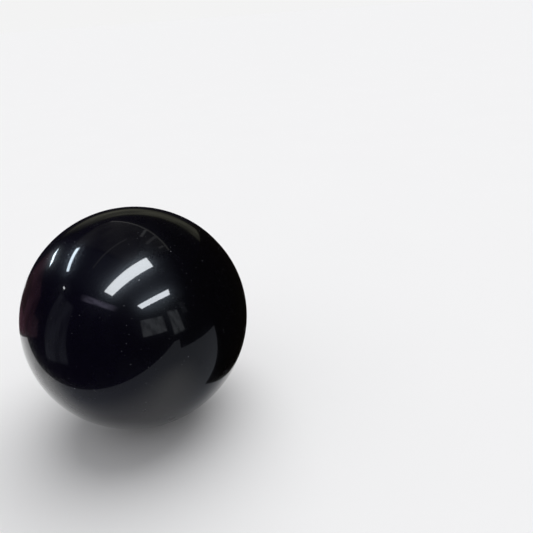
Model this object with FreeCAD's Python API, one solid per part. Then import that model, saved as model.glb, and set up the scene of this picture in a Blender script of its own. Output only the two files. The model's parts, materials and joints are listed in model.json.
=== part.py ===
# Globe-shaped ultraviolet black light bulb with a 26 mm screw cap.
# Sizes are millimetres. Every piece is drawn on the lamp's own axis first: Z runs from the
# solder tip of the centre contact, at 0, up to the crown of the globe. The whole lamp is then
# laid down the way it comes to rest, on the globe and on the cap, with its crown towards -Y.
import FreeCAD, Part
import math
import os

# Globe and neck, blown in one piece of black glass
GLOBE_DIAMETER = 95.0
OVERALL_LENGTH = 127.0
NECK_DIAMETER = 32.2
NECK_FILLET_RADIUS = 5.5
NECK_SHOULDER_RADIUS = 4.0

# Glass end inside the cap: rolled seal, flare, press and tipped-off exhaust tube
SEAL_DEPTH = 10.5
SEAL_RIM_RADIUS = 1.2
FLARE_HEIGHT = 5.0
FLARE_TUBE_RADIUS = 6.2
PRESS_DEPTH = 11.0
EXHAUST_TUBE_RADIUS = 2.2
EXHAUST_TIP_DROP = 2.6

# Sheet shell of the screw cap, its barrel drawn plain from the root to the crest of the thread
SHEET_THICKNESS = 0.3
SHELL_FOOT_HEIGHT = 4.7
SHELL_FOOT_RADIUS = 2.5
SHELL_FOOT_CONE_DEG = 43.0
THREAD_DIAMETER = 26.3
THREAD_DEPTH = 0.85
THREAD_LENGTH = 12.4
THREAD_RUN_OUT = 1.0
COLLAR_HEIGHT = 4.6
RIM_FLARE = 0.55
RIM_FLARE_HEIGHT = 1.6
RIM_GAP = 0.8

# Insulator, centre contact and solder
SOLDER_DOME_HEIGHT = 1.0
SOLDER_DOME_RADIUS = 3.0
CONTACT_DIAMETER = 10.2
CONTACT_THICKNESS = 0.4
EYELET_RADIUS = 1.3
EYELET_WALL = 0.35
EYELET_HEIGHT = 1.8
INSULATOR_FACE_RADIUS = 5.5
INSULATOR_FLOOR = 2.2
SIDE_SOLDER_RADIUS = 1.7
SIDE_SOLDER_DROP = 1.5
SIDE_SOLDER_ANGLE_DEG = 50.0

# Lead wires
LEAD_RADIUS = 0.22
LEAD_OFFSET = 3.8
LEAD_CLEARANCE = 0.22
LEAD_SEAL_CLEARANCE = 2.2
LEAD_BEND_SHARE = 0.45

# Small gap that keeps cement and insulator clear of the rolled sheet and the glass
SEAT_GAP = 0.04

# Search for the angle at which the lamp comes to rest
REST_MESH_TOLERANCE = 0.02
REST_STEEPEST_DEG = 80.0
REST_ANGLE_TOLERANCE = 1e-7

# Radii and heights that follow from the sizes above
GLOBE_RADIUS = GLOBE_DIAMETER / 2
GLOBE_CENTRE_Z = OVERALL_LENGTH - GLOBE_RADIUS
NECK_RADIUS = NECK_DIAMETER / 2
THREAD_CREST_RADIUS = THREAD_DIAMETER / 2
THREAD_ROOT_RADIUS = THREAD_CREST_RADIUS - THREAD_DEPTH
BARREL_INSIDE_RADIUS = THREAD_ROOT_RADIUS - SHEET_THICKNESS
COLLAR_INSIDE_RADIUS = THREAD_CREST_RADIUS - SHEET_THICKNESS
CONTACT_RADIUS = CONTACT_DIAMETER / 2
CONTACT_Z = SOLDER_DOME_HEIGHT
INSULATOR_Z = CONTACT_Z + CONTACT_THICKNESS
SHELL_Z = INSULATOR_Z + INSULATOR_FLOOR
THREAD_Z = SHELL_Z + SHELL_FOOT_HEIGHT
COLLAR_Z = THREAD_Z + THREAD_LENGTH
RIM_Z = COLLAR_Z + COLLAR_HEIGHT
FLARE_Z = RIM_Z - RIM_FLARE_HEIGHT
SEAL_Z = RIM_Z - SEAL_DEPTH
PRESS_Z = RIM_Z + PRESS_DEPTH
EXHAUST_TIP_Z = SEAL_Z - EXHAUST_TIP_DROP

# The rim's flare is an arc that starts along the collar
FLARE_RADIUS = (RIM_FLARE_HEIGHT ** 2 + RIM_FLARE ** 2) / (2 * RIM_FLARE)
FLARE_CENTRE_RADIUS = THREAD_CREST_RADIUS + FLARE_RADIUS

AXIS = FreeCAD.Vector(0, 0, 1)
ORIGIN = FreeCAD.Vector(0, 0, 0)


def at(radius, height):
    """Point of a profile, in the plane that is revolved about the axis."""
    return FreeCAD.Vector(radius, 0, height)


def line(start, end):
    return Part.LineSegment(start, end).toShape()


def arc(start, middle, end):
    return Part.Arc(start, middle, end).toShape()


def arc_about(centre, start, end):
    """Short arc from start to end about a centre that is equally far from both."""
    towards_middle = (start + end) * 0.5 - centre
    middle = centre + towards_middle.normalize() * (start - centre).Length
    return arc(start, middle, end)


def revolved(edges):
    """Solid of revolution about the lamp's axis from a closed profile."""
    return Part.Face(Part.Wire(edges)).revolve(ORIGIN, AXIS, 360)


def polygon(points):
    """Straight edges round a closed outline."""
    return [line(start, end) for start, end in zip(points, points[1:] + points[:1])]


def flare_outside(height):
    """Outer radius of the flared rim."""
    return FLARE_CENTRE_RADIUS - math.sqrt(FLARE_RADIUS ** 2 - (height - FLARE_Z) ** 2)


def collar_inside(height):
    """Inner radius of the collar, straight and then along the flare."""
    above = max(height - FLARE_Z, 0)
    return FLARE_CENTRE_RADIUS - math.sqrt((FLARE_RADIUS + SHEET_THICKNESS) ** 2 - above ** 2)


def foot_cone():
    """Lower and upper end of the cone that turns the shell in at its foot."""
    cone = math.radians(SHELL_FOOT_CONE_DEG)
    top = at(THREAD_ROOT_RADIUS - SHELL_FOOT_RADIUS * (1 - math.sin(cone)),
             THREAD_Z - SHELL_FOOT_RADIUS * math.cos(cone))
    return at(top.x - (top.z - SHELL_Z) / math.tan(cone), SHELL_Z), top


def foot_cone_inside():
    """Lower and upper end of the same cone on the inside of the sheet."""
    cone = math.radians(SHELL_FOOT_CONE_DEG)
    low, top = foot_cone()
    square_in = at(-math.sin(cone), math.cos(cone)) * SHEET_THICKNESS
    return low - at(SHEET_THICKNESS / math.sin(cone), 0), top + square_in


def screw_shell():
    """Sheet shell of the cap: turned-in foot, plain barrel, collar and flared rim."""
    foot_low, foot_top = foot_cone()
    inner_low, inner_top = foot_cone_inside()
    foot_centre = at(THREAD_ROOT_RADIUS - SHELL_FOOT_RADIUS, THREAD_Z)
    barrel_low = at(THREAD_ROOT_RADIUS, THREAD_Z)
    crest_low = at(THREAD_CREST_RADIUS, THREAD_Z + THREAD_RUN_OUT)
    flare_low = at(THREAD_CREST_RADIUS, FLARE_Z)
    rim = at(flare_outside(RIM_Z), RIM_Z)
    flare_centre = at(FLARE_CENTRE_RADIUS, FLARE_Z)
    inner_rim = at(collar_inside(RIM_Z), RIM_Z)
    inner_flare = at(COLLAR_INSIDE_RADIUS, FLARE_Z)
    inner_collar = at(COLLAR_INSIDE_RADIUS, COLLAR_Z)
    inner_crest = at(BARREL_INSIDE_RADIUS, COLLAR_Z - THREAD_RUN_OUT)
    inner_barrel = at(BARREL_INSIDE_RADIUS, THREAD_Z)
    return revolved([
        line(foot_low, foot_top),
        arc_about(foot_centre, foot_top, barrel_low),
        line(barrel_low, crest_low),
        line(crest_low, flare_low),
        arc_about(flare_centre, flare_low, rim),
        line(rim, inner_rim),
        arc_about(flare_centre, inner_rim, inner_flare),
        line(inner_flare, inner_collar),
        line(inner_collar, inner_crest),
        line(inner_crest, inner_barrel),
        arc_about(foot_centre, inner_barrel, inner_top),
        line(inner_top, inner_low),
        line(inner_low, foot_low),
    ])


def neck_foot():
    """Where the rounded glass shoulder, just clear of the rim, meets the neck inside the cap."""
    radius = collar_inside(RIM_Z) - 2 * LEAD_RADIUS - LEAD_CLEARANCE
    return at(radius, RIM_Z + RIM_GAP)


def seal_radius():
    """Outside of the glass neck inside the barrel, with room for a lead beside it."""
    return BARREL_INSIDE_RADIUS - 2 * (LEAD_RADIUS + LEAD_CLEARANCE)


def neck_radius(height):
    """Tapered glass neck inside the collar."""
    foot = neck_foot()
    seal_r = seal_radius()
    return seal_r + (foot.x - seal_r) * (height - COLLAR_Z) / (foot.z - COLLAR_Z)


def glass_globe():
    """Sealed glass bulb: globe, neck and rolled seal, with the flare and exhaust tube inside the cap."""
    centre = at(0, GLOBE_CENTRE_Z)
    crown = at(0, OVERALL_LENGTH)
    # the hollow fillet touches both the globe and the straight neck
    fillet_r = NECK_RADIUS + NECK_FILLET_RADIUS
    fillet_drop = math.sqrt((GLOBE_RADIUS + NECK_FILLET_RADIUS) ** 2 - fillet_r ** 2)
    fillet_centre = at(fillet_r, GLOBE_CENTRE_Z - fillet_drop)
    globe_end = centre + (fillet_centre - centre) * (GLOBE_RADIUS / (GLOBE_RADIUS + NECK_FILLET_RADIUS))
    neck_top = at(NECK_RADIUS, fillet_centre.z)
    globe_side = centre + at(GLOBE_RADIUS, 0)
    # the shoulder rounds in from the neck to the foot that stands inside the rim
    foot = neck_foot()
    inset = foot.x - (NECK_RADIUS - NECK_SHOULDER_RADIUS)
    shoulder_centre = at(NECK_RADIUS - NECK_SHOULDER_RADIUS,
                         foot.z + math.sqrt(NECK_SHOULDER_RADIUS ** 2 - inset ** 2))
    neck_base = at(NECK_RADIUS, shoulder_centre.z)
    seal_r = seal_radius()
    seal_top = at(seal_r, COLLAR_Z)
    seal_outer = at(seal_r, SEAL_Z + SEAL_RIM_RADIUS)
    seal_low = at(seal_r - SEAL_RIM_RADIUS, SEAL_Z)
    seal_inner = at(seal_r - 2 * SEAL_RIM_RADIUS, SEAL_Z + SEAL_RIM_RADIUS)
    flare_top = at(FLARE_TUBE_RADIUS, SEAL_Z + SEAL_RIM_RADIUS + FLARE_HEIGHT)
    press_edge = at(FLARE_TUBE_RADIUS, PRESS_Z)
    tube_top = at(EXHAUST_TUBE_RADIUS, PRESS_Z)
    tube_round = at(EXHAUST_TUBE_RADIUS, EXHAUST_TIP_Z + EXHAUST_TUBE_RADIUS)
    tube_tip = at(0, EXHAUST_TIP_Z)
    return revolved([
        arc(crown, globe_side, globe_end),
        arc_about(fillet_centre, globe_end, neck_top),
        line(neck_top, neck_base),
        arc_about(shoulder_centre, neck_base, foot),
        line(foot, seal_top),
        line(seal_top, seal_outer),
        arc(seal_outer, seal_low, seal_inner),
        line(seal_inner, flare_top),
        line(flare_top, press_edge),
        line(press_edge, tube_top),
        line(tube_top, tube_round),
        arc_about(at(0, tube_round.z), tube_round, tube_tip),
        line(tube_tip, crown),
    ])


def rounded_wire(points):
    """Path of straight runs joined by tangent arcs as large as the shorter run allows."""
    edges = []
    here = points[0]
    for before, corner, after in zip(points, points[1:], points[2:]):
        back = before - corner
        ahead = after - corner
        cut = LEAD_BEND_SHARE * min(back.Length, ahead.Length)
        back.normalize()
        ahead.normalize()
        start = corner + back * cut
        end = corner + ahead * cut
        bisector = back + ahead
        bisector.normalize()
        half_turn = back.getAngle(ahead) / 2
        middle = corner + bisector * (cut / math.cos(half_turn) - cut * math.tan(half_turn))
        edges.append(line(here, start))
        edges.append(arc(start, middle, end))
        here = end
    edges.append(line(here, points[-1]))
    return Part.Wire(edges)


def wire_along(points):
    """Round lead wire that follows a path."""
    path = rounded_wire(points)
    section = Part.Wire(Part.Circle(points[0], points[1] - points[0], LEAD_RADIUS).toShape())
    return path.makePipeShell([section], True, False)


def turned(shape, degrees):
    """The shape turned about the lamp's axis."""
    copy = shape.copy()
    copy.rotate(ORIGIN, AXIS, degrees)
    return copy


def slot_middle(height):
    """Point midway between the glass neck and the collar."""
    return at((neck_radius(height) + collar_inside(height)) / 2, height)


def side_lead():
    """Lead from the press, round the seal, up through the cement and over the rim."""
    under_seal = SEAL_Z - LEAD_SEAL_CLEARANCE - LEAD_RADIUS
    beside_seal = seal_radius() + LEAD_CLEARANCE + LEAD_RADIUS
    over_rim = RIM_Z + RIM_GAP / 2
    outside = flare_outside(RIM_Z) + LEAD_CLEARANCE + LEAD_RADIUS
    end_z = RIM_Z - SIDE_SOLDER_DROP
    path = [
        at(LEAD_OFFSET, PRESS_Z),
        at(LEAD_OFFSET, under_seal),
        at(beside_seal, under_seal),
        at(beside_seal, COLLAR_Z),
        slot_middle(FLARE_Z),
        at(slot_middle(RIM_Z).x, over_rim),
        at(outside, over_rim),
        at(outside, end_z),
    ]
    return turned(wire_along(path), SIDE_SOLDER_ANGLE_DEG)


def centre_lead():
    """Lead from the press, past the exhaust tip and down the axis into the centre contact."""
    path = [
        at(LEAD_OFFSET, PRESS_Z),
        at(LEAD_OFFSET, EXHAUST_TIP_Z),
        at(0, EXHAUST_TIP_Z - LEAD_OFFSET),
        at(0, CONTACT_Z / 2),
    ]
    return turned(wire_along(path), SIDE_SOLDER_ANGLE_DEG + 180)


def basing_cement(lead):
    """Ring of cement that holds the glass neck in the collar, moulded round the side lead."""
    top = RIM_Z - RIM_FLARE_HEIGHT / 2
    corners = [
        at(neck_radius(COLLAR_Z) + SEAT_GAP, COLLAR_Z),
        at(neck_radius(top) + SEAT_GAP, top),
        at(COLLAR_INSIDE_RADIUS - SEAT_GAP, top),
        at(COLLAR_INSIDE_RADIUS - SEAT_GAP, COLLAR_Z),
    ]
    return revolved(polygon(corners)).cut(lead)


def insulator():
    """Moulded glass button that fills the shell's foot and carries the contact."""
    foot_low, foot_top = foot_cone_inside()
    well_radius = EYELET_RADIUS + SEAT_GAP
    return revolved(polygon([
        at(well_radius, INSULATOR_Z),
        at(INSULATOR_FACE_RADIUS, INSULATOR_Z),
        foot_low - at(SEAT_GAP, 0),
        foot_top - at(SEAT_GAP, 0),
        at(well_radius, foot_top.z),
    ]))


def centre_contact():
    """Contact plate with an eyelet that grips the insulator's well."""
    bore = EYELET_RADIUS - EYELET_WALL
    return revolved(polygon([
        at(bore, CONTACT_Z),
        at(CONTACT_RADIUS, CONTACT_Z),
        at(CONTACT_RADIUS, INSULATOR_Z),
        at(EYELET_RADIUS, INSULATOR_Z),
        at(EYELET_RADIUS, INSULATOR_Z + EYELET_HEIGHT),
        at(bore, INSULATOR_Z + EYELET_HEIGHT),
    ]))


def centre_solder(lead):
    """Domed solder tip on the contact plate, round the end of the centre lead."""
    dome_radius = (SOLDER_DOME_RADIUS ** 2 + SOLDER_DOME_HEIGHT ** 2) / (2 * SOLDER_DOME_HEIGHT)
    edge = at(SOLDER_DOME_RADIUS, CONTACT_Z)
    tip = at(0, 0)
    dome = revolved([
        arc_about(at(0, dome_radius), tip, edge),
        line(edge, at(0, CONTACT_Z)),
        line(at(0, CONTACT_Z), tip),
    ])
    return dome.cut(lead)


def side_solder(lead):
    """Bead of solder on the collar that joins the side lead to the shell."""
    bead_z = RIM_Z - SIDE_SOLDER_DROP
    bead = Part.makeSphere(SIDE_SOLDER_RADIUS, at(THREAD_CREST_RADIUS, bead_z))
    # the collar, one seat gap larger, leaves the bead's back hollow
    gap = at(SEAT_GAP, 0)
    low = bead_z - SIDE_SOLDER_RADIUS
    above = RIM_Z + SIDE_SOLDER_RADIUS
    wall_low = at(THREAD_CREST_RADIUS, low) + gap
    flare_low = at(THREAD_CREST_RADIUS, FLARE_Z) + gap
    rim = at(flare_outside(RIM_Z), RIM_Z) + gap
    rim_above = at(rim.x, above)
    core = revolved([
        line(at(0, low), wall_low),
        line(wall_low, flare_low),
        arc_about(at(FLARE_CENTRE_RADIUS, FLARE_Z) + gap, flare_low, rim),
        line(rim, rim_above),
        line(rim_above, at(0, above)),
        line(at(0, above), at(0, low)),
    ])
    return turned(bead.cut(core), SIDE_SOLDER_ANGLE_DEG).cut(lead)


def reach(points, direction):
    """How far the points go from the globe's centre along a direction."""
    centre = at(0, GLOBE_CENTRE_Z)
    return max((point - centre).dot(direction) for point in points)


def down(lean):
    """The table's side, seen from the lamp, when the axis leans by this angle towards the cap."""
    return FreeCAD.Vector(0, -math.cos(lean), -math.sin(lean))


def lying(cap_pieces):
    """Placement that lays the lamp on its globe and cap, centred over the origin."""
    points = [point for piece in cap_pieces for point in piece.tessellate(REST_MESH_TOLERANCE)[0]]
    low, high = 0.0, math.radians(REST_STEEPEST_DEG)
    while high - low > REST_ANGLE_TOLERANCE:
        lean = (low + high) / 2
        if reach(points, down(lean)) < GLOBE_RADIUS:
            low = lean
        else:
            high = lean
    towards_cap = FreeCAD.Vector(0, math.sin(lean), -math.cos(lean))
    globe_y = (GLOBE_RADIUS - reach(points, towards_cap)) / 2
    rotation = FreeCAD.Rotation(FreeCAD.Vector(1, 0, 0), 90 - math.degrees(lean))
    globe_centre = FreeCAD.Vector(0, globe_y, GLOBE_RADIUS)
    print("axis leans", round(math.degrees(lean), 3), "degrees; globe centre", globe_centre)
    return FreeCAD.Placement(globe_centre - rotation.multVec(at(0, GLOBE_CENTRE_Z)), rotation)


def main():
    side = side_lead()
    centre = centre_lead()
    pieces = {
        "glass_globe": glass_globe(),
        "screw_shell": screw_shell(),
        "insulator": insulator(),
        "centre_contact": centre_contact(),
        "centre_solder": centre_solder(centre),
        "side_solder": side_solder(side),
        "basing_cement": basing_cement(side),
        "side_lead": side,
        "centre_lead": centre,
    }
    placement = lying([pieces["screw_shell"], pieces["insulator"], pieces["centre_contact"]])
    os.makedirs("parts", exist_ok=True)
    for name, piece in pieces.items():
        piece.Placement = placement.multiply(piece.Placement)
        piece.exportStep(f"parts/{name}.step")
        print(name, "volume", round(piece.Volume, 2), "solids", len(piece.Solids), "valid", piece.isValid())
    print("cap axis point", placement.multVec(at(0, (THREAD_Z + COLLAR_Z) / 2)))
    print("cap axis", placement.Rotation.multVec(FreeCAD.Vector(0, 0, -1)))


main()
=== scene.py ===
"""Dresses the frame of a globe lamp: black glass bulb, threaded screw cap and plain pale stage."""

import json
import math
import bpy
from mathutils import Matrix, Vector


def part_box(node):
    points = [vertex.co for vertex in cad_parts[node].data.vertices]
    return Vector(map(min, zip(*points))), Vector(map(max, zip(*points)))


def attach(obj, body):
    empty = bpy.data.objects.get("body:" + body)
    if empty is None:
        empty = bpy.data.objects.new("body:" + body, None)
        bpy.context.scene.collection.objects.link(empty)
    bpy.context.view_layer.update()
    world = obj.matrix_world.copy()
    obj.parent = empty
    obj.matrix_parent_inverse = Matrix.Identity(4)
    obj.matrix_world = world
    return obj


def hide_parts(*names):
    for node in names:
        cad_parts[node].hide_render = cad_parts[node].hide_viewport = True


bl_info = {
    "name": "Globe black light bulb",
    "version": (1, 0, 0),
    "blender": (4, 5, 0),
    "location": "View3D > Sidebar > Lamp",
    "description": "Builds the glass, cap and stage of a globe lamp on its frame",
    "category": "Object",
}

import bmesh
import bpy
from bpy.props import FloatProperty, FloatVectorProperty, IntProperty, PointerProperty
from mathutils import Matrix, Quaternion, Vector

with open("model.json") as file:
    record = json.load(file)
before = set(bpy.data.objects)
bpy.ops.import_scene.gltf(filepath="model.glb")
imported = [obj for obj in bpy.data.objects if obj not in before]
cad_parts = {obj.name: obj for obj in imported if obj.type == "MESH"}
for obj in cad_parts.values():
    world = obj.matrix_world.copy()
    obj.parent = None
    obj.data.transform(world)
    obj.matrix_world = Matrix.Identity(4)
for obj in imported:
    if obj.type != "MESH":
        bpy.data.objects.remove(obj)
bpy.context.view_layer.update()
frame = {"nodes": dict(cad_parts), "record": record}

MM = 0.001
WELD = 1e-7
ARC_STEPS = 24
SHARP_EDGE = math.radians(35)
FEWEST_STEPS = 12

# Turned pieces are drawn a hair inside the frame's facets
FACET_MARGIN = 0.015 * MM

# The cap's axis and thread, as the frame's mount gives them
CAP_MOUNT = frame["record"]["mounts"][0]
CAP_AXIS = Vector(CAP_MOUNT["axis"])
THREAD_MIDDLE = Vector(CAP_MOUNT["pos_m"])
THREAD_LENGTH = CAP_MOUNT["dims"]["length_mm"] * MM
CREST_RADIUS = CAP_MOUNT["dims"]["r_mm"] * MM - FACET_MARGIN

GLASS_LOW, GLASS_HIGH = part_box("glass_globe")
GLOBE_RADIUS = (GLASS_HIGH.z - GLASS_LOW.z) / 2 - FACET_MARGIN

# Sockets of a Mix node for colours, by number because their names aren't unique
MIX_SHARE, MIX_FIRST, MIX_SECOND = 0, 6, 7
MIX_RESULT = 2

NOISE_DETAIL = 3.0
NOISE_ROUGHNESS = 0.55


def size(name, description, millimetres):
    """Length that the user can change."""
    return FloatProperty(name=name, description=description, default=millimetres * MM, min=0.0,
                         precision=5, unit="LENGTH", subtype="DISTANCE")


def colour(name, description, red, green, blue):
    """Colour that the user can change."""
    return FloatVectorProperty(name=name, description=description, default=(red, green, blue),
                               min=0.0, max=1.0, subtype="COLOR")


def angle(name, description, degrees):
    """Angle that the user can change."""
    return FloatProperty(name=name, description=description, default=math.radians(degrees),
                         subtype="ANGLE")


def count(name, description, number):
    """Number of steps that the user can change."""
    return IntProperty(name=name, description=description, default=number, min=FEWEST_STEPS)


class GlassSizes(bpy.types.PropertyGroup):
    """Blown bulb: neck, shoulder and the sealed end inside the cap."""

    globe_diameter: size("Globe diameter", "Across the globe", 2 * GLOBE_RADIUS / MM)
    overall_length: size("Overall length", "From the tip of the contact to the crown",
                         127.0 - FACET_MARGIN / MM)
    neck_diameter: size("Neck diameter", "Across the straight neck", 32.2)
    neck_fillet: size("Neck fillet", "Radius of the hollow between globe and neck", 5.5)
    shoulder: size("Shoulder", "Radius where the neck rounds in to the cap", 4.0)
    foot_diameter: size("Foot diameter", "Across the neck where it enters the cap", 25.34)
    foot_gap: size("Foot gap", "From the rim of the cap up to the shoulder's foot", 0.8)
    seal_diameter: size("Seal diameter", "Across the neck inside the barrel", 22.24)
    seal_depth: size("Seal depth", "From the rim of the cap down to the rolled seal", 10.5)
    seal_rim: size("Seal rim", "Radius of the rolled edge of the seal", 1.2)
    flare_diameter: size("Flare tube diameter", "Across the tube inside the seal", 12.4)
    flare_height: size("Flare height", "Height of the cone inside the seal", 5.0)
    press_height: size("Press height", "From the rim of the cap up to the press", 11.0)
    exhaust_diameter: size("Exhaust tube diameter", "Across the tipped-off tube", 4.4)
    exhaust_drop: size("Exhaust drop", "From the seal down to the tube's tip", 2.6)
    steps: count("Steps", "Flat sides of a turned piece", 192)


class CapSizes(bpy.types.PropertyGroup):
    """Screw cap: sheet shell, insulator and centre contact."""

    sheet: size("Sheet", "Thickness of the shell", 0.3)
    foot_height: size("Foot height", "Height of the turned-in foot", 4.7)
    foot_round: size("Foot round", "Radius where the foot turns into the barrel", 2.5)
    foot_cone: angle("Foot cone", "Slope of the foot above the level", 43.0)
    thread_depth: size("Thread depth", "From root to crest", 0.85)
    thread_pitch: size("Thread pitch", "Rise of the thread in one turn", 3.629)
    thread_fade: size("Thread fade", "Height over which the thread rises from the wall", 1.6)
    collar_height: size("Collar height", "Height of the plain band above the thread", 4.6)
    collar_step: size("Collar step", "Height of the step from barrel to collar", 1.0)
    rim_flare: size("Rim flare", "How far the rim opens", 0.55)
    rim_flare_height: size("Rim flare height", "Height of the opened rim", 1.6)
    insulator_face: size("Insulator face", "Radius of the flat face under the contact", 5.5)
    insulator_floor: size("Insulator floor", "Height of the insulator below the shell", 2.2)
    insulator_well: size("Insulator well", "Radius of the hole for the eyelet", 1.34)
    contact_radius: size("Contact radius", "Radius of the contact plate", 5.1)
    contact_thickness: size("Contact thickness", "Thickness of the contact plate", 0.4)
    eyelet_radius: size("Eyelet radius", "Radius of the eyelet in the insulator", 1.3)
    eyelet_wall: size("Eyelet wall", "Thickness of the eyelet", 0.35)
    eyelet_height: size("Eyelet height", "Height of the eyelet above the plate", 1.8)
    dome_radius: size("Solder radius", "Radius of the solder on the contact", 3.0)
    dome_height: size("Solder height", "Height of the solder on the contact", 1.0)
    edge_round: size("Edge round", "Radius of worn edges", 0.15)
    seat_gap: size("Seat gap", "Play of the insulator in the shell", 0.04)
    wall_steps: count("Wall steps", "Rings of the threaded wall", 100)


class LampColours(bpy.types.PropertyGroup):
    """Colours of the lamp's materials."""

    # Painted light and shade: the first glass colour is a violet sheen painted on the globe's left
    # side, the second a darker black painted as shade on its right side
    glass: colour("Glass", "Black glass where it is thinner and some violet shows",
                  0.0020, 0.0013, 0.0058)
    glass_dark: colour("Glass, dark", "Black glass on the thicker side", 0.0013, 0.0011, 0.0020)
    haze: colour("Haze", "Tint of the faint haze round bright lights", 0.80, 0.90, 1.0)
    dust: colour("Dust", "Dust and lint on the glass", 0.30, 0.31, 0.34)
    cap: colour("Cap", "Bright rolled sheet", 0.78, 0.78, 0.77)
    # Darker colour of the sheet, in blotches and most in the roots of the thread
    cap_darker: colour("Cap soil", "Tarnish in the roots of the thread", 0.33, 0.31, 0.28)
    insulator: colour("Insulator", "Gloss black glass button", 0.015, 0.014, 0.016)
    insulator_clouds: colour("Insulator clouds", "Paler clouds in the button", 0.030, 0.024, 0.026)
    contact: colour("Contact", "Brass contact plate", 0.72, 0.60, 0.36)
    contact_tarnish: colour("Contact tarnish", "Tarnish on the brass", 0.42, 0.33, 0.20)
    solder: colour("Solder", "Dull grey solder", 0.62, 0.63, 0.64)
    solder_frost: colour("Solder frost", "Frosted skin of the solder", 0.40, 0.40, 0.40)
    cement: colour("Cement", "Buff basing cement", 0.62, 0.56, 0.46)
    cement_scorch: colour("Cement scorch", "Cement darkened by heat", 0.40, 0.31, 0.22)
    lead: colour("Lead wire", "Drawn wire", 0.55, 0.54, 0.52)
    lead_stain: colour("Lead stain", "Oxide on the wire", 0.30, 0.27, 0.24)


class StageSettings(bpy.types.PropertyGroup):
    """Floor, light and camera."""

    floor: colour("Floor", "Pale floor", 0.92, 0.92, 0.92)
    sun_strength: FloatProperty(name="Light strength", description="Strength of the broad light",
                                default=1.7, min=0.0)
    sun_spread: angle("Light spread", "Angle that the broad light fills", 70.0)
    camera_distance: size("Camera distance", "From the globe's centre", 249.3)
    camera_height: angle("Camera height", "Angle of the camera above the globe's centre", 28.0)
    camera_turn: angle("Camera turn", "Turn of the camera about the line to the globe", 11.0)


class Wire:
    """Socket that takes part in Python sums, each of which adds a Math node."""

    def __init__(self, finish, socket):
        self.finish = finish
        self.socket = socket

    def sum(self, operation, first, second):
        """One sum of two wires or numbers."""
        return self.finish.node("ShaderNodeMath", {"operation": operation}, {0: first, 1: second})

    def __add__(self, other):
        return self.sum("ADD", self, other)

    def __sub__(self, other):
        return self.sum("SUBTRACT", self, other)

    def __rsub__(self, other):
        return self.sum("SUBTRACT", other, self)

    def __mul__(self, other):
        return self.sum("MULTIPLY", self, other)

    __radd__ = __add__
    __rmul__ = __mul__


class Nodes:
    """Node tree of a material or of the world."""

    def __init__(self, tree):
        self.tree = tree

    def node(self, kind, settings, inputs, output=0):
        """Adds a node: its settings first, then the values or links of its sockets."""
        node = self.tree.nodes.new(kind)
        for name, value in settings.items():
            setattr(node, name, value)
        for socket, value in inputs.items():
            self.feed(node.inputs[socket], value)
        return Wire(self, node.outputs[output])

    def feed(self, socket, value):
        """Links a wire to a socket, or sets the socket's value."""
        if isinstance(value, Wire):
            self.tree.links.new(value.socket, socket)
        else:
            socket.default_value = value

    def between(self, value, low, high):
        """Rises smoothly from 0 to 1 as the value goes from low to high."""
        return self.node("ShaderNodeMapRange", {"interpolation_type": "SMOOTHSTEP"},
                         {"Value": value, "From Min": low, "From Max": high})

    def mix(self, share, first, second):
        """Colour between two colours."""
        sockets = {MIX_SHARE: share, MIX_FIRST: first, MIX_SECOND: second}
        return self.node("ShaderNodeMix", {"data_type": "RGBA"}, sockets, MIX_RESULT)


class Finish(Nodes):
    """Procedural material round one Principled shader."""

    def __init__(self, name, constants):
        self.material = bpy.data.materials.new(name)
        self.material.use_nodes = True
        super().__init__(self.material.node_tree)
        self.shader = self.tree.nodes["Principled BSDF"]
        self.place = self.node("ShaderNodeTexCoord", {}, {}, "Object")
        for socket, value in constants.items():
            self.set(socket, value)

    def set(self, socket, value):
        """Sets or links a socket of the shader."""
        self.feed(self.shader.inputs[socket], value)

    def noise(self, grain, detail=NOISE_DETAIL):
        """Noise whose lumps are about one grain across."""
        return self.node("ShaderNodeTexNoise", {}, {
            "Vector": self.place,
            "Scale": 1 / grain,
            "Detail": detail,
            "Roughness": NOISE_ROUGHNESS,
        })

    def blotches(self, grain, low, high, detail=NOISE_DETAIL):
        """Blotches about one grain across, where the noise rises from low to high."""
        return self.between(self.noise(grain, detail), low, high)

    def bump(self, height, depth):
        """Raises the surface by up to a depth."""
        self.set("Normal", self.node("ShaderNodeBump", {}, {"Height": height, "Distance": depth}))


def rgba(rgb):
    """Colour with full alpha."""
    return (*rgb, 1.0)


def black_glass(colours):
    """Black glass, painted violet sheen on its left side and painted shade on its right: clear
    gloss over a faint haze, with dust and old finger smears.
    """
    finish = Finish("black_glass", {
        "IOR": 1.5,
        "Specular IOR Level": 0.115,
        "Specular Tint": rgba(colours.haze),
        "Coat Roughness": 0.03,
        "Coat IOR": 1.4,
    })
    # Painted light and shade: violet sheen painted over the left half, fading over the right half
    # into darker black painted as shade
    across = finish.node("ShaderNodeSeparateXYZ", {}, {"Vector": finish.place}, "X")
    wander = 40 * MM * finish.noise(45 * MM)
    shaded = finish.between(across + wander, 0.0, 45 * MM)
    smears = finish.blotches(14 * MM, low=0.52, high=0.72, detail=5.0)
    specks = finish.blotches(0.6 * MM, low=0.765, high=0.81, detail=1.0)
    patches = finish.blotches(9 * MM, low=0.45, high=0.62)
    dust = specks * patches
    tint = finish.mix(shaded, rgba(colours.glass), rgba(colours.glass_dark))
    finish.set("Base Color", finish.mix(dust, tint, rgba(colours.dust)))
    finish.set("Roughness", 0.25 + 0.10 * smears + 0.2 * dust)
    finish.set("Coat Weight", 1.0 - 0.12 * smears - 0.5 * dust)
    return finish.material


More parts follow.
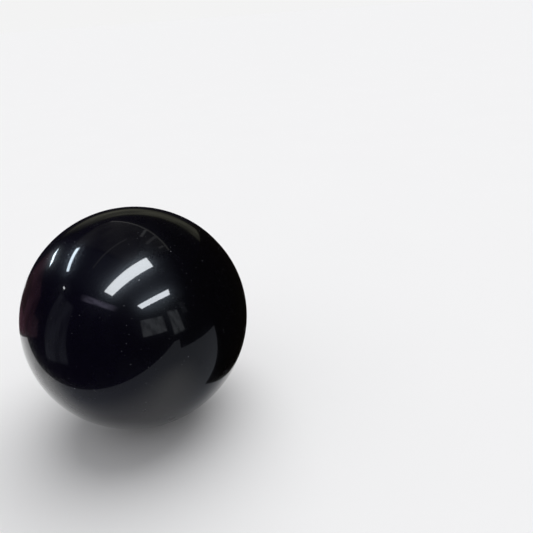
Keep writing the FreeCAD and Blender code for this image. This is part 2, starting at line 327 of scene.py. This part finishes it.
def rolled_sheet(colours):
    """Bright sheet, darker in blotches and most in the roots of the thread, with fine scuffs."""
    finish = Finish("rolled_sheet", {"Metallic": 1.0})
    ridge = finish.node("ShaderNodeAttribute", {"attribute_name": "ridge"}, {}, "Fac")
    clouds = finish.noise(5 * MM, detail=4.0)
    # Darker in blotches, and most where the ridge is low, in the roots of the thread
    darkening = finish.between(clouds - 0.45 * ridge, 0.16, 0.52)
    scuffs = finish.blotches(0.5 * MM, low=0.55, high=0.75, detail=2.0)
    finish.set("Base Color", finish.mix(darkening * 0.7, rgba(colours.cap), rgba(colours.cap_darker)))
    finish.set("Roughness", 0.2 + 0.2 * darkening + 0.12 * scuffs)
    finish.bump(clouds + 0.3 * scuffs, 0.03 * MM)
    return finish.material


def glass_button(colours):
    """Moulded black glass with a slightly wavy surface."""
    finish = Finish("glass_button", {"IOR": 1.52})
    waves = finish.noise(2.5 * MM)
    clouds = finish.between(waves, 0.4, 0.7)
    tint = finish.mix(clouds, rgba(colours.insulator), rgba(colours.insulator_clouds))
    finish.set("Base Color", tint)
    finish.set("Roughness", 0.1 + 0.2 * finish.blotches(0.8 * MM, low=0.5, high=0.7))
    finish.bump(waves, 0.08 * MM)
    return finish.material


def satin_brass(colours):
    """Stamped brass, a little tarnished."""
    finish = Finish("satin_brass", {"Metallic": 1.0})
    tarnish = finish.blotches(1.6 * MM, low=0.42, high=0.68, detail=5.0)
    tint = finish.mix(tarnish, rgba(colours.contact), rgba(colours.contact_tarnish))
    finish.set("Base Color", tint)
    finish.set("Roughness", 0.25 + 0.25 * tarnish)
    finish.bump(finish.noise(0.3 * MM), 0.015 * MM)
    return finish.material


def dull_solder(colours):
    """Frozen solder with a frosted skin."""
    finish = Finish("dull_solder", {"Metallic": 1.0})
    frost = finish.blotches(1.1 * MM, low=0.4, high=0.7)
    finish.set("Base Color", finish.mix(frost, rgba(colours.solder), rgba(colours.solder_frost)))
    finish.set("Roughness", 0.24 + 0.3 * frost)
    finish.bump(finish.noise(1.6 * MM, detail=2.0), 0.10 * MM)
    return finish.material


def baked_cement(colours):
    """Matt grainy cement, scorched in places."""
    finish = Finish("baked_cement", {"Specular IOR Level": 0.2})
    scorch = finish.blotches(3 * MM, low=0.45, high=0.7)
    finish.set("Base Color", finish.mix(scorch, rgba(colours.cement), rgba(colours.cement_scorch)))
    finish.set("Roughness", 0.85 + 0.1 * scorch)
    finish.bump(finish.noise(0.25 * MM, detail=4.0), 0.08 * MM)
    return finish.material


def drawn_wire(colours):
    """Grey drawn wire."""
    finish = Finish("drawn_wire", {"Metallic": 1.0})
    stain = finish.blotches(1.2 * MM, low=0.45, high=0.7, detail=4.0)
    finish.set("Base Color", finish.mix(stain, rgba(colours.lead), rgba(colours.lead_stain)))
    finish.set("Roughness", 0.3 + 0.2 * stain)
    finish.bump(finish.noise(0.2 * MM), 0.01 * MM)
    return finish.material


class Outline:
    """Half outline of a turned piece, drawn from point to point in radius and height."""

    def __init__(self, radius, height):
        self.mesh = bmesh.new()
        self.end = self.mesh.verts.new((radius, 0, height))

    def line(self, radius, height, steps=1):
        """Straight to a point in equal steps."""
        start = self.end.co.copy()
        for step in range(steps):
            self.end = bmesh.ops.extrude_vert_indiv(self.mesh, verts=[self.end])["verts"][0]
            self.end.co = start.lerp(Vector((radius, 0, height)), (step + 1) / steps)

    def arc(self, radius, height, turn, steps=ARC_STEPS):
        """Round a centre, by a turn that is positive from the radius towards the height."""
        drawn = bmesh.ops.spin(self.mesh, geom=[self.end], cent=(radius, 0, height),
                               axis=(0, -1, 0), angle=turn, steps=steps)
        self.end = next(part for part in drawn["geom_last"] if isinstance(part, bmesh.types.BMVert))

    def turned(self, steps):
        """The outline spun once about the lamp's axis."""
        drawn = self.mesh.verts[:] + self.mesh.edges[:]
        bmesh.ops.spin(self.mesh, geom=drawn, axis=(0, 0, 1), angle=math.tau, steps=steps,
                       use_merge=True)
        bmesh.ops.remove_doubles(self.mesh, verts=self.mesh.verts, dist=WELD)
        bmesh.ops.recalc_face_normals(self.mesh, faces=self.mesh.faces)
        return self.mesh


def lamp_placement():
    """Lays the lamp, drawn upright with heights from the contact's tip, down in the frame."""
    middle = thread_foot(bpy.context.scene.lamp_cap) + THREAD_LENGTH / 2
    lean = Matrix.Rotation(math.acos(-CAP_AXIS.z), 4, "X")
    return Matrix.Translation(THREAD_MIDDLE) @ lean @ Matrix.Translation((0, 0, -middle))


def globe_centre(glass):
    """Height of the globe's middle above the contact's tip."""
    return glass.overall_length - glass.globe_diameter / 2


def linked(name, mesh, material):
    """Object of the scene made from a finished mesh."""
    data = bpy.data.meshes.new(name)
    mesh.to_mesh(data)
    mesh.free()
    data.materials.append(material)
    piece = bpy.data.objects.new(name, data)
    bpy.context.scene.collection.objects.link(piece)
    return piece


def placed(name, mesh, material, node):
    """Finished piece of the lamp, which stands for a node of the frame."""
    mesh.transform(lamp_placement())
    piece = linked(name, mesh, material)
    piece.data.shade_smooth()
    piece.data.set_sharp_from_angle(angle=SHARP_EDGE)
    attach(piece, "root")
    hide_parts(node)


def coated(node, material):
    """Gives a solid of the frame its finish."""
    slots = frame["nodes"][node].data.materials
    slots.clear()
    slots.append(material)


def shell_foot(cap):
    """Height at which the sheet shell starts, above the tip of the contact."""
    return cap.dome_height + cap.contact_thickness + cap.insulator_floor


def thread_foot(cap):
    """Height at which the barrel starts."""
    return shell_foot(cap) + cap.foot_height


def rim_height(cap):
    """Height of the cap's rim."""
    return thread_foot(cap) + THREAD_LENGTH + cap.collar_height


def glass_outline(glass, cap):
    """Globe, neck and shoulder, then the seal, flare, press and exhaust tube inside the cap."""
    rim = rim_height(cap)
    globe = glass.globe_diameter / 2
    centre = globe_centre(glass)
    neck = glass.neck_diameter / 2
    fillet = neck + glass.neck_fillet
    drop = math.sqrt((globe + glass.neck_fillet) ** 2 - fillet ** 2)
    below = math.atan2(drop, fillet)
    foot = glass.foot_diameter / 2
    turn = math.acos((foot - neck + glass.shoulder) / glass.shoulder)
    seal = glass.seal_diameter / 2
    seal_low = rim - glass.seal_depth
    tube = glass.flare_diameter / 2
    press = rim + glass.press_height
    exhaust = glass.exhaust_diameter / 2
    outline = Outline(0, glass.overall_length)
    outline.arc(0, centre, -math.pi / 2 - below, glass.steps // 2)
    outline.arc(fillet, centre - drop, below)
    outline.line(neck, rim + glass.foot_gap + glass.shoulder * math.sin(turn))
    outline.arc(neck - glass.shoulder, outline.end.co.z, -turn)
    outline.line(seal, rim - cap.collar_height)
    outline.line(seal, seal_low + glass.seal_rim)
    outline.arc(seal - glass.seal_rim, seal_low + glass.seal_rim, -math.pi)
    outline.line(tube, outline.end.co.z + glass.flare_height)
    outline.line(tube, press)
    outline.line(exhaust, press)
    outline.line(exhaust, seal_low - glass.exhaust_drop + exhaust)
    outline.arc(0, outline.end.co.z, -math.pi / 2)
    return outline


def shell_outline(cap):
    """Outside of the sheet from the foot up to the rim, then its inside back down."""
    root = CREST_RADIUS - cap.thread_depth
    low = shell_foot(cap)
    barrel = thread_foot(cap)
    collar = barrel + THREAD_LENGTH
    rim = rim_height(cap)
    turn = math.pi / 2 - cap.foot_cone
    # Two equal arcs lead from the barrel out to the collar
    step_turn = 2 * math.atan(cap.thread_depth / cap.collar_step)
    step_round = cap.collar_step / (2 * math.sin(step_turn))
    flare = (cap.rim_flare_height ** 2 + cap.rim_flare ** 2) / (2 * cap.rim_flare)
    flare_turn = math.asin(cap.rim_flare_height / flare)
    inner_turn = math.asin(cap.rim_flare_height / (flare + cap.sheet))
    cone_top = root - cap.foot_round * (1 - math.cos(turn))
    cone_top_height = barrel - cap.foot_round * math.sin(turn)
    cone_low = cone_top - (cone_top_height - low) / math.tan(cap.foot_cone)
    outline = Outline(cone_low, low)
    start = outline.end
    outline.line(cone_top, cone_top_height)
    outline.arc(root - cap.foot_round, barrel, turn)
    outline.line(root, collar - cap.collar_step, cap.wall_steps)
    outline.arc(root + step_round, collar - cap.collar_step, -step_turn)
    outline.arc(CREST_RADIUS - step_round, collar, step_turn)
    outline.line(CREST_RADIUS, rim - cap.rim_flare_height)
    outline.arc(CREST_RADIUS + flare, rim - cap.rim_flare_height, -flare_turn)
    outline.line(CREST_RADIUS + flare - (flare + cap.sheet) * math.cos(inner_turn), rim)
    outline.arc(CREST_RADIUS + flare, rim - cap.rim_flare_height, inner_turn)
    outline.line(CREST_RADIUS - cap.sheet, collar)
    outline.arc(CREST_RADIUS - step_round, collar, -step_turn)
    outline.arc(root + step_round, collar - cap.collar_step, step_turn)
    outline.line(root - cap.sheet, barrel, cap.wall_steps // 2)
    outline.arc(root - cap.foot_round, barrel, -turn)
    outline.line(cone_low - cap.sheet / math.sin(cap.foot_cone), low)
    outline.mesh.edges.new((outline.end, start))
    return outline


def roll_thread(mesh, cap):
    """Presses the right-hand knuckle thread into both faces of the barrel."""
    low = thread_foot(cap)
    high = low + THREAD_LENGTH - cap.collar_step
    ridges = mesh.verts.layers.float.new("ridge")
    for vert in mesh.verts:
        vert[ridges] = 1.0
        if not low <= vert.co.z <= high:
            continue
        turns = math.atan2(vert.co.y, vert.co.x) / math.tau
        wave = 0.5 - 0.5 * math.cos(math.tau * ((vert.co.z - low) / cap.thread_pitch - turns))
        # The thread rises from the wall in a smooth step at both ends
        fade = min((vert.co.z - low) / cap.thread_fade, (high - vert.co.z) / cap.thread_fade, 1.0)
        vert[ridges] = wave * fade * fade * (3 - 2 * fade)
        radius = math.hypot(vert.co.x, vert.co.y)
        vert.co.xy *= 1 + cap.thread_depth * vert[ridges] / radius


def insulator_outline(cap):
    """Button that fills the shell's foot, from its well out to the foot and back."""
    face = cap.dome_height + cap.contact_thickness
    low = shell_foot(cap)
    turn = math.pi / 2 - cap.foot_cone
    inside = cap.foot_round - cap.sheet
    top = thread_foot(cap) - inside * math.sin(turn)
    centre = CREST_RADIUS - cap.thread_depth - cap.foot_round
    reach = centre + inside * math.cos(turn) - cap.seat_gap
    edge = reach - (top - low) / math.tan(cap.foot_cone)
    outline = Outline(cap.insulator_well, face)
    start = outline.end
    outline.line(cap.insulator_face - cap.edge_round, face)
    outline.line(cap.insulator_face, face + cap.edge_round)
    outline.line(edge, low)
    outline.line(reach, top)
    outline.line(cap.insulator_well, top)
    outline.mesh.edges.new((outline.end, start))
    return outline


def contact_outline(cap):
    """Contact plate with its eyelet."""
    low = cap.dome_height
    face = low + cap.contact_thickness
    top = face + cap.eyelet_height
    bore = cap.eyelet_radius - cap.eyelet_wall
    outline = Outline(bore, low)
    start = outline.end
    outline.line(cap.contact_radius - cap.edge_round, low)
    outline.arc(cap.contact_radius - cap.edge_round, low + cap.edge_round, math.pi / 2)
    outline.line(cap.contact_radius, face)
    outline.line(cap.eyelet_radius, face)
    outline.line(cap.eyelet_radius, top)
    outline.line(bore, top)
    outline.mesh.edges.new((outline.end, start))
    return outline


def dome_outline(cap):
    """Solder dome on the contact plate."""
    ball = (cap.dome_radius ** 2 + cap.dome_height ** 2) / (2 * cap.dome_height)
    outline = Outline(0, 0)
    outline.arc(0, ball, math.asin(cap.dome_radius / ball))
    outline.line(0, cap.dome_height)
    return outline


class LAMP_OT_glass(bpy.types.Operator):
    """Blown globe with its neck and the sealed end inside the cap"""

    bl_idname = "lamp.glass"
    bl_label = "Glass bulb"

    def execute(self, context):
        scene = context.scene
        mesh = glass_outline(scene.lamp_glass, scene.lamp_cap).turned(scene.lamp_glass.steps)
        placed("glass_bulb", mesh, black_glass(scene.lamp_colours), "glass_globe")
        return {"FINISHED"}


class LAMP_OT_shell(bpy.types.Operator):
    """Sheet shell of the screw cap with its rolled thread"""

    bl_idname = "lamp.shell"
    bl_label = "Screw shell"

    def execute(self, context):
        scene = context.scene
        mesh = shell_outline(scene.lamp_cap).turned(scene.lamp_glass.steps)
        roll_thread(mesh, scene.lamp_cap)
        placed("threaded_shell", mesh, rolled_sheet(scene.lamp_colours), "screw_shell")
        return {"FINISHED"}


class LAMP_OT_contact_end(bpy.types.Operator):
    """Insulator, contact plate and solder dome at the end of the cap"""

    bl_idname = "lamp.contact_end"
    bl_label = "Contact end"

    def execute(self, context):
        scene = context.scene
        cap = scene.lamp_cap
        steps = scene.lamp_glass.steps // 2
        colours = scene.lamp_colours
        button = insulator_outline(cap).turned(steps)
        placed("glass_insulator", button, glass_button(colours), "insulator")
        plate = contact_outline(cap).turned(steps)
        placed("contact_plate", plate, satin_brass(colours), "centre_contact")
        dome = dome_outline(cap).turned(steps)
        placed("solder_dome", dome, dull_solder(colours), "centre_solder")
        return {"FINISHED"}


class LAMP_OT_joining_pieces(bpy.types.Operator):
    """Finishes of the side solder, the cement and both lead wires"""

    bl_idname = "lamp.joining_pieces"
    bl_label = "Solder, cement and leads"

    def execute(self, context):
        colours = context.scene.lamp_colours
        wire = drawn_wire(colours)
        coated("side_solder", dull_solder(colours))
        coated("basing_cement", baked_cement(colours))
        coated("side_lead", wire)
        coated("centre_lead", wire)
        return {"FINISHED"}


# Camera: where the globe's centre stands in the square picture, and the focal length, in pixels
PICTURE_SIDE = 533
GLOBE_PIXEL = (137.9, 316.0)
FOCAL_PIXELS = 555.0
CAMERA_NEAR = 10 * MM

# Floor, a hair below the lamp, with faint clouds in its colour
FLOOR_SIDE = 60.0
FLOOR_DROP = 0.1 * MM
FLOOR_CLOUDS = 80 * MM
CLOUD_SHARE = 0.985

# Studio that the glass mirrors, in metres: strips, panels, rails and slats overhead, each with its
# ends, width, soft share and glow, and higher by a share of its width
STUDIO_RADIUS = 6.0
STUDIO_SIDES = 48
CEILING = 1.5
PANEL_LIFT = 0.01
CEILING_LIGHTS = {
    "main_strip": ((-0.72, -1.01), (0.49, -0.26), 0.31, 0.0, (20.4, 21.3, 22.2)),
    "front_strip": ((0.13, -2.04), (1.28, -1.36), 0.33, 0.0, (21.2, 22.2, 23.6)),
    "left_strip": ((-1.60, 0.56), (-1.03, 1.09), 0.17, 0.0, (15.2, 17.7, 20.0)),
    "back_strip": ((-2.72, 2.56), (-2.40, 3.40), 0.45, 0.0, (11.2, 12.9, 14.1)),
    "small_lamp": ((-2.22, 0.20), (-2.10, 0.20), 0.12, 0.0, (13.4, 14.0, 14.3)),
    "side_glow": ((-1.75, -0.60), (-0.70, -1.95), 0.42, 1.0, (1.3, 1.2, 1.7)),
    "ceiling_glow": ((-1.10, 0.60), (1.90, -2.60), 2.60, 1.0, (0.13, 0.15, 0.19)),
    "back_glow": ((-0.82, 1.84), (0.61, -0.17), 1.25, 0.35, (0.10, 0.10, 0.095)),
    "back_rail": ((-0.20, 1.98), (1.00, 0.25), 0.06, 0.0, (0.44, 0.44, 0.42)),
    "side_rail": ((-0.78, -0.03), (0.05, 0.50), 0.03, 0.0, (0.36, 0.36, 0.36)),
    "left_slat": ((0.48, 0.94), (0.35, 0.58), 0.06, 0.0, (0.50, 0.51, 0.52)),
    "middle_slat": ((0.67, 0.67), (0.44, 0.31), 0.07, 0.0, (0.36, 0.36, 0.37)),
    "right_slat": ((0.84, 0.35), (0.72, 0.22), 0.06, 0.0, (0.46, 0.46, 0.47)),
}

# Upright cards: middle, width, height, heading in degrees, soft share and glow
CARDS = {
    "dark_card": ((0.0625, 0.0444, 0.046), 0.200, 0.092, 77.0, 0.0, (0.005, 0.004, 0.003)),
    "warm_card": ((-0.1725, 0.0815, 0.0625), 0.175, 0.125, 4.2, 0.15, (0.09, 0.042, 0.058)),
    "warm_wing": ((-0.3042, 0.0718, 0.0335), 0.108, 0.067, 4.2, 0.15, (0.13, 0.075, 0.10)),
    "warm_shade": ((-0.1206, 0.0843, 0.0540), 0.050, 0.042, 4.2, 0.0, (0.038, 0.021, 0.024)),
    "grey_card": ((-0.16, -0.057, 0.0805), 0.072, 0.158, 90.0, 0.3, (0.14, 0.15, 0.18)),
    "pale_card": ((0.47, -2.00, 0.60), 0.92, 0.66, 0.0, 0.3, (0.72, 0.76, 0.82)),
    "pale_post": ((1.43, -2.00, 0.56), 0.66, 1.10, 0.0, 0.5, (0.74, 0.78, 0.84)),
    "side_post": ((2.20, -2.00, 1.11), 0.50, 0.74, 0.0, 0.5, (0.13, 0.14, 0.16)),
    "back_card": ((1.00, 2.50, 0.85), 4.30, 1.10, 0.0, 0.7, (0.15, 0.15, 0.115)),
}

# Soft panels and cards have folds painted as shade in their glow: lumps along and across each one,
# their detail, the range of noise over which they darken, and how dark the folds are
FOLDS = (3.5, 1.5, 0.0)
FOLD_DETAIL = 2.0
FOLD_RANGE = (0.4, 0.6)
FOLD_DEPTH = 0.5

# Edges of the pale table top in the glass, a hair above the floor: a point on each, and its heading
# in degrees with the table on the left
TABLE_EDGES = {
    "table_left_edge": ((0.014, -0.186), -53.6),
    "table_front_edge": ((0.283, -0.533), 33.5),
    "table_back_edge": ((0.0, 0.24), 180.0),
}
EDGE_LIFT = 0.4 * MM

# Dark runner along the table's front edge: its near corner, heading in degrees, length and width
RUNNER = ((0.127, -0.227), 33.5, 6.0, 0.4)

# Glow of the dim studio and the dark pieces, and plain black
DARK = (0.007, 0.006, 0.010)
BLACK = (0.0, 0.0, 0.0, 1.0)

# In front of the globe the table's mirror image is darker with painted shade, but for a band of
# painted light along its
# left edge: where the darker part starts, where the band starts and is full, where it ends again,
# and where it fades away from the globe's foot
FRONT_PART = (-0.055, -0.015)
BAND_START = (0.015, 0.065)
BAND_END = (0.060, 0.105)
BAND_FADE = (0.060, 0.160)
TABLE_SHADE_TONE = (0.34, 0.36, 0.40)

# Even light from all round, and the background's tone as a share of the floor's colour
FILL = (0.5, 0.5, 0.51, 1.0)
BACKGROUND_SHARE = 0.975

# The broad light comes from above, a little from the right and from behind
SUN_LEAN = Matrix.Rotation(math.radians(18), 4, "Y") @ Matrix.Rotation(math.radians(-20), 4, "X")


def stage_piece(name, mesh, material):
    """Floor or card of the stage."""
    piece = linked(name, mesh, material)
    return piece


def sheet_mesh(length, width, place):
    """Flat rectangle set in its place, with a map from corner to corner."""
    mesh = bmesh.new()
    mesh.loops.layers.uv.new("corners")
    bmesh.ops.create_grid(mesh, x_segments=1, y_segments=1, size=0.5, calc_uvs=True,
                          matrix=place @ Matrix.Diagonal((length, width, 1, 1)))
    return mesh


def glow(name, rgb, softness=0.0):
    """Glowing surface, even, or fading out towards its edges with folds painted as shade in its
    glow.
    """
    strength = max(rgb)
    full = rgba([part / strength for part in rgb])
    finish = Finish(name, {
        "Base Color": BLACK,
        "Specular IOR Level": 0.0,
        "Emission Strength": strength,
        "Emission Color": full,
    })
    if softness:
        corners = finish.node("ShaderNodeTexCoord", {}, {}, "UV")
        along = finish.node("ShaderNodeSeparateXYZ", {}, {"Vector": corners}, "X")
        across = finish.node("ShaderNodeSeparateXYZ", {}, {"Vector": corners}, "Y")
        # A share times its rest is a quarter at the middle of the card
        from_ends = finish.between(along * (1 - along), 0.0, softness / 4)
        from_sides = finish.between(across * (1 - across), 0.0, softness / 4)
        lumps = finish.node("ShaderNodeVectorMath", {"operation": "MULTIPLY"},
                            {0: corners, 1: FOLDS})
        folds = finish.node("ShaderNodeTexNoise", {},
                            {"Vector": lumps, "Scale": 1.0, "Detail": FOLD_DETAIL})
        # Painted shade of folds in the glow of a flat card
        lit = 1 - FOLD_DEPTH * finish.between(folds, *FOLD_RANGE)
        finish.set("Emission Color", finish.mix(from_ends * from_sides * lit, BLACK, full))
    return finish.material


def pale_floor(rgb, foot):
    """Plain matt floor, whose mirror image has painted shade in front of the globe but for a band
    of painted light.
    """
    finish = Finish("pale_floor", {"Specular IOR Level": 0.0, "Roughness": 0.9})
    point, heading = TABLE_EDGES["table_left_edge"]
    inward = Vector((-math.sin(math.radians(heading)), math.cos(math.radians(heading))))
    sideways = {0: finish.place, 1: inward.to_3d()}
    reach = finish.node("ShaderNodeVectorMath", {"operation": "DOT_PRODUCT"}, sideways, "Value")
    reach = reach - inward.dot(Vector(point))
    to_foot = {0: finish.place, 1: foot}
    away = finish.node("ShaderNodeVectorMath", {"operation": "DISTANCE"}, to_foot, "Value")
    depth = finish.node("ShaderNodeSeparateXYZ", {}, {"Vector": finish.place}, "Y")
    band = finish.between(reach, *BAND_START) * (1 - finish.between(reach, *BAND_END))
    bright = band * (1 - finish.between(away, *BAND_FADE))
    # Painted shade in the floor's mirror image in front of the globe, with a band of painted light
    # along the table's left edge
    mirrored = finish.node("ShaderNodeLightPath", {}, {}, "Is Glossy Ray")
    darker = mirrored * (1 - finish.between(depth, *FRONT_PART)) * (1 - bright)
    cloud = rgba([CLOUD_SHARE * part for part in rgb])
    tone = finish.mix(finish.noise(FLOOR_CLOUDS), rgba(rgb), cloud)
    finish.set("Base Color", finish.mix(darker, tone, rgba(TABLE_SHADE_TONE)))
    return finish.material


def add_card(name, mesh, material):
    """Glowing or dark card that only the lamp's mirror images show."""
    card = stage_piece(name, mesh, material)
    card.visible_camera = False
    card.visible_diffuse = False
    card.visible_transmission = False
    card.visible_volume_scatter = False
    card.visible_shadow = False


def turned_to(heading, point):
    """Place of a stage piece: at a point, turned to a heading about the vertical."""
    return Matrix.Translation(point) @ Matrix.Rotation(heading, 4, "Z")


def add_studio():
    """Dim studio with its lights overhead, cards, table edges and runner."""
    studio = bmesh.new()
    bmesh.ops.create_uvsphere(studio, u_segments=STUDIO_SIDES, v_segments=STUDIO_SIDES // 2,
                              radius=STUDIO_RADIUS)
    add_card("dim_studio", studio, glow("dim_studio", DARK))
    for name, (start, end, width, softness, rgb) in CEILING_LIGHTS.items():
        along = Vector(end) - Vector(start)
        lift = Vector((0, 0, CEILING + PANEL_LIFT * width))
        middle = (Vector(start) + along / 2).to_3d() + lift
        place = turned_to(math.atan2(along.y, along.x), middle)
        add_card(name, sheet_mesh(along.length, width, place), glow(name, rgb, softness))
    upright = Matrix.Rotation(math.pi / 2, 4, "X")
    for name, (middle, width, height, heading, softness, rgb) in CARDS.items():
        place = turned_to(math.radians(heading), middle) @ upright
        add_card(name, sheet_mesh(width, height, place), glow(name, rgb, softness))
    beyond = Matrix.Translation((0, -STUDIO_RADIUS, 0))
    for name, (point, heading) in TABLE_EDGES.items():
        edge = turned_to(math.radians(heading), (*point, EDGE_LIFT))
        dark = sheet_mesh(4 * STUDIO_RADIUS, 2 * STUDIO_RADIUS, edge @ beyond)
        add_card(name, dark, glow(name, DARK))
    corner, heading, length, width = RUNNER
    edge = turned_to(math.radians(heading), (*corner, EDGE_LIFT))
    runner = sheet_mesh(length, width, edge @ Matrix.Translation((length / 2, -width / 2, 0)))
    add_card("runner", runner, glow("runner", DARK))


def light_world(rgb):
    """Even fill light, with the floor's tone behind everything."""
    world = bpy.data.worlds.new("soft_fill")
    bpy.context.scene.world = world
    world.use_nodes = True
    nodes = Nodes(world.node_tree)
    camera = nodes.node("ShaderNodeLightPath", {}, {}, "Is Camera Ray")
    glossy = nodes.node("ShaderNodeLightPath", {}, {}, "Is Glossy Ray")
    through = nodes.node("ShaderNodeLightPath", {}, {}, "Is Transmission Ray")
    background = rgba([BACKGROUND_SHARE * part for part in rgb])
    tone = nodes.mix(camera + glossy + through, FILL, background)
    nodes.feed(world.node_tree.nodes["Background"].inputs["Color"], tone)


def add_sun(settings):
    """Broad soft light from above."""
    sun = bpy.data.lights.new("soft_sky", "SUN")
    sun.energy = settings.sun_strength
    sun.angle = settings.sun_spread
    lamp = bpy.data.objects.new("soft_sky", sun)
    lamp.matrix_world = SUN_LEAN
    lamp.visible_glossy = False
    bpy.context.scene.collection.objects.link(lamp)


def add_camera(settings, globe):
    """Camera on the crown of the lamp, with the globe left of and below the picture's middle."""
    height = settings.camera_height
    towards = Vector((0, math.cos(height), -math.sin(height)))
    half = PICTURE_SIDE / 2
    right = (GLOBE_PIXEL[0] - half) / FOCAL_PIXELS
    up = (half - GLOBE_PIXEL[1]) / FOCAL_PIXELS
    swing = Vector((right, up, -1)).rotation_difference(Vector((0, 0, -1)))
    aim = Quaternion(towards, settings.camera_turn) @ (towards.to_track_quat("-Z", "Y") @ swing)
    data = bpy.data.cameras.new("camera")
    data.sensor_fit = "HORIZONTAL"
    data.lens = data.sensor_width * FOCAL_PIXELS / PICTURE_SIDE
    data.clip_start = CAMERA_NEAR
    camera = bpy.data.objects.new("camera", data)
    place = Matrix.Translation(globe - towards * settings.camera_distance)
    camera.matrix_world = place @ aim.to_matrix().to_4x4()
    bpy.context.scene.collection.objects.link(camera)
    bpy.context.scene.camera = camera


class LAMP_OT_stage(bpy.types.Operator):
    """Pale floor, soft light, mirrored studio and the camera"""

    bl_idname = "lamp.stage"
    bl_label = "Stage"

    def execute(self, context):
        settings = context.scene.lamp_stage
        globe = lamp_placement() @ Vector((0, 0, globe_centre(context.scene.lamp_glass)))
        floor = sheet_mesh(FLOOR_SIDE, FLOOR_SIDE, Matrix.Translation((0, 0, -FLOOR_DROP)))
        stage_piece("floor", floor, pale_floor(settings.floor, (*globe.xy, 0)))
        add_studio()
        light_world(settings.floor)
        add_sun(settings)
        add_camera(settings, globe)
        context.scene.view_settings.view_transform = "Standard"
        return {"FINISHED"}


class LAMP_PT_panel(bpy.types.Panel):
    """Pieces, sizes and colours of the lamp"""

    bl_label = "Globe lamp"
    bl_space_type = "VIEW_3D"
    bl_region_type = "UI"
    bl_category = "Lamp"

    def draw(self, context):
        for operator in OPERATORS:
            self.layout.operator(operator.bl_idname)
        for name in GROUPS:
            settings = getattr(context.scene, name)
            box = self.layout.box()
            for prop in settings.bl_rna.properties:
                if prop.identifier not in {"rna_type", "name"}:
                    box.prop(settings, prop.identifier)


GROUPS = {
    "lamp_glass": GlassSizes,
    "lamp_cap": CapSizes,
    "lamp_colours": LampColours,
    "lamp_stage": StageSettings,
}
OPERATORS = (
    LAMP_OT_glass,
    LAMP_OT_shell,
    LAMP_OT_contact_end,
    LAMP_OT_joining_pieces,
    LAMP_OT_stage,
)
CLASSES = (*GROUPS.values(), *OPERATORS, LAMP_PT_panel)


def register():
    for item in CLASSES:
        bpy.utils.register_class(item)
    for name, group in GROUPS.items():
        setattr(bpy.types.Scene, name, PointerProperty(type=group))


def unregister():
    for name in GROUPS:
        delattr(bpy.types.Scene, name)
    for item in reversed(CLASSES):
        bpy.utils.unregister_class(item)


def main():
    register()
    bpy.ops.lamp.glass()
    bpy.ops.lamp.shell()
    bpy.ops.lamp.contact_end()
    bpy.ops.lamp.joining_pieces()
    bpy.ops.lamp.stage()


if __name__ == "__main__":
    main()
